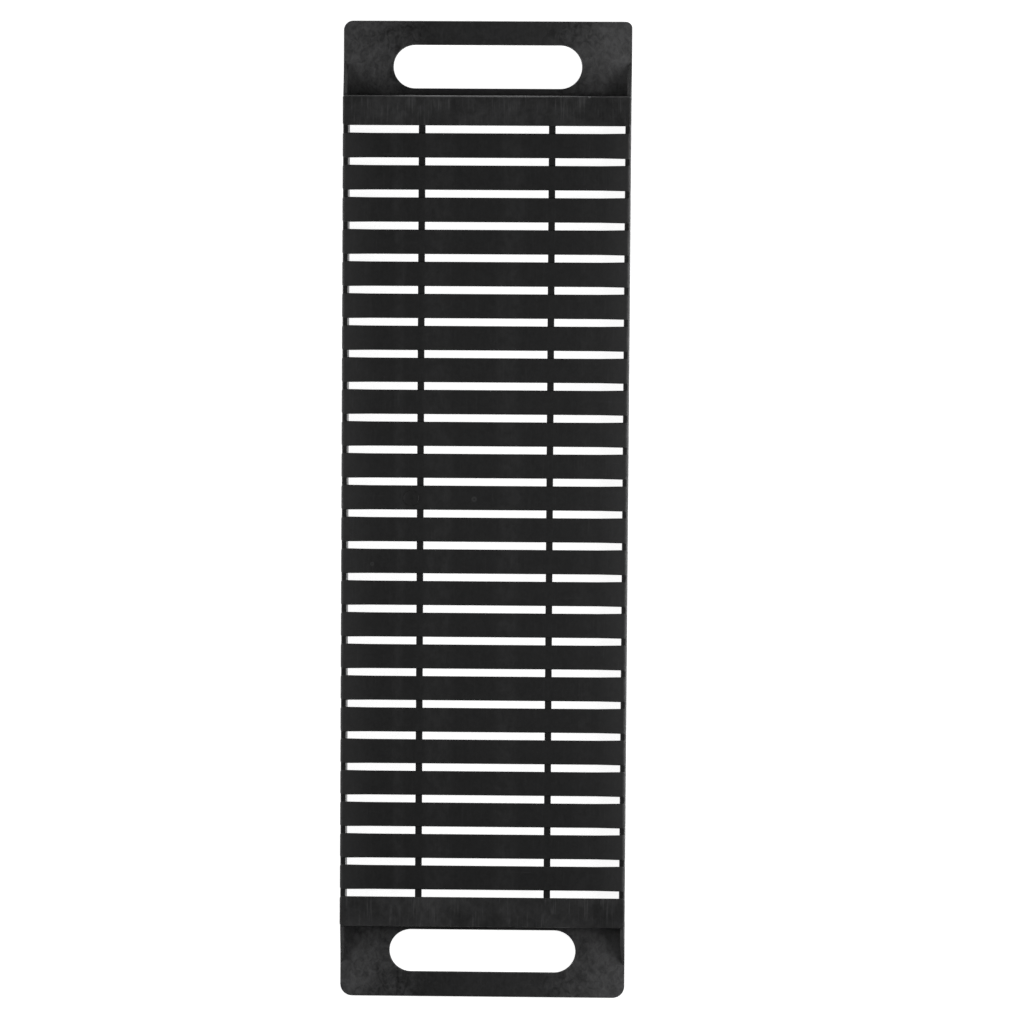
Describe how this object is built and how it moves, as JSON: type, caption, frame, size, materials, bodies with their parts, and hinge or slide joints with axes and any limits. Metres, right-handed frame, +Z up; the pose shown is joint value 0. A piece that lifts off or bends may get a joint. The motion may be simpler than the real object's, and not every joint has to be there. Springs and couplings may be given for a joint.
{
  "type": "queen excluder",
  "caption": "Raised slatted plastic grille on rails, ribs and end walls, with a flat hand-slot plate at each end; worker bees pass the slots and a queen does not.",
  "frame": {"origin": "centre of the underside, on the surface the part rests on", "axes": "+Y along the length towards the rear handle plate, +X across the width to the right, +Z up through the slats"},
  "size_m": [0.1582, 0.5394, 0.0186],
  "materials": {
    "black_plastic": "fine matte mould texture, neutral black polypropylene"
  },
  "bodies": {
    "root": {"front_handle_plate": "black_plastic", "rear_handle_plate": "black_plastic", "front_end_wall": "black_plastic", "rear_end_wall": "black_plastic", "front_end_band": "black_plastic", "rear_end_band": "black_plastic", "left_side_rail": "black_plastic", "right_side_rail": "black_plastic", "left_long_rib": "black_plastic", "right_long_rib": "black_plastic", "slat_01": "black_plastic", "slat_02": "black_plastic", "slat_03": "black_plastic", "slat_04": "black_plastic", "slat_05": "black_plastic", "slat_06": "black_plastic", "slat_07": "black_plastic", "slat_08": "black_plastic", "slat_09": "black_plastic", "slat_10": "black_plastic", "slat_11": "black_plastic", "slat_12": "black_plastic", "slat_13": "black_plastic", "slat_14": "black_plastic", "slat_15": "black_plastic", "slat_16": "black_plastic", "slat_17": "black_plastic", "slat_18": "black_plastic", "slat_19": "black_plastic", "slat_20": "black_plastic", "slat_21": "black_plastic", "slat_22": "black_plastic", "slat_23": "black_plastic", "slat_24": "black_plastic", "front_left_gusset": "black_plastic", "front_right_gusset": "black_plastic", "rear_left_gusset": "black_plastic", "rear_right_gusset": "black_plastic"}
  },
  "joints": []
}
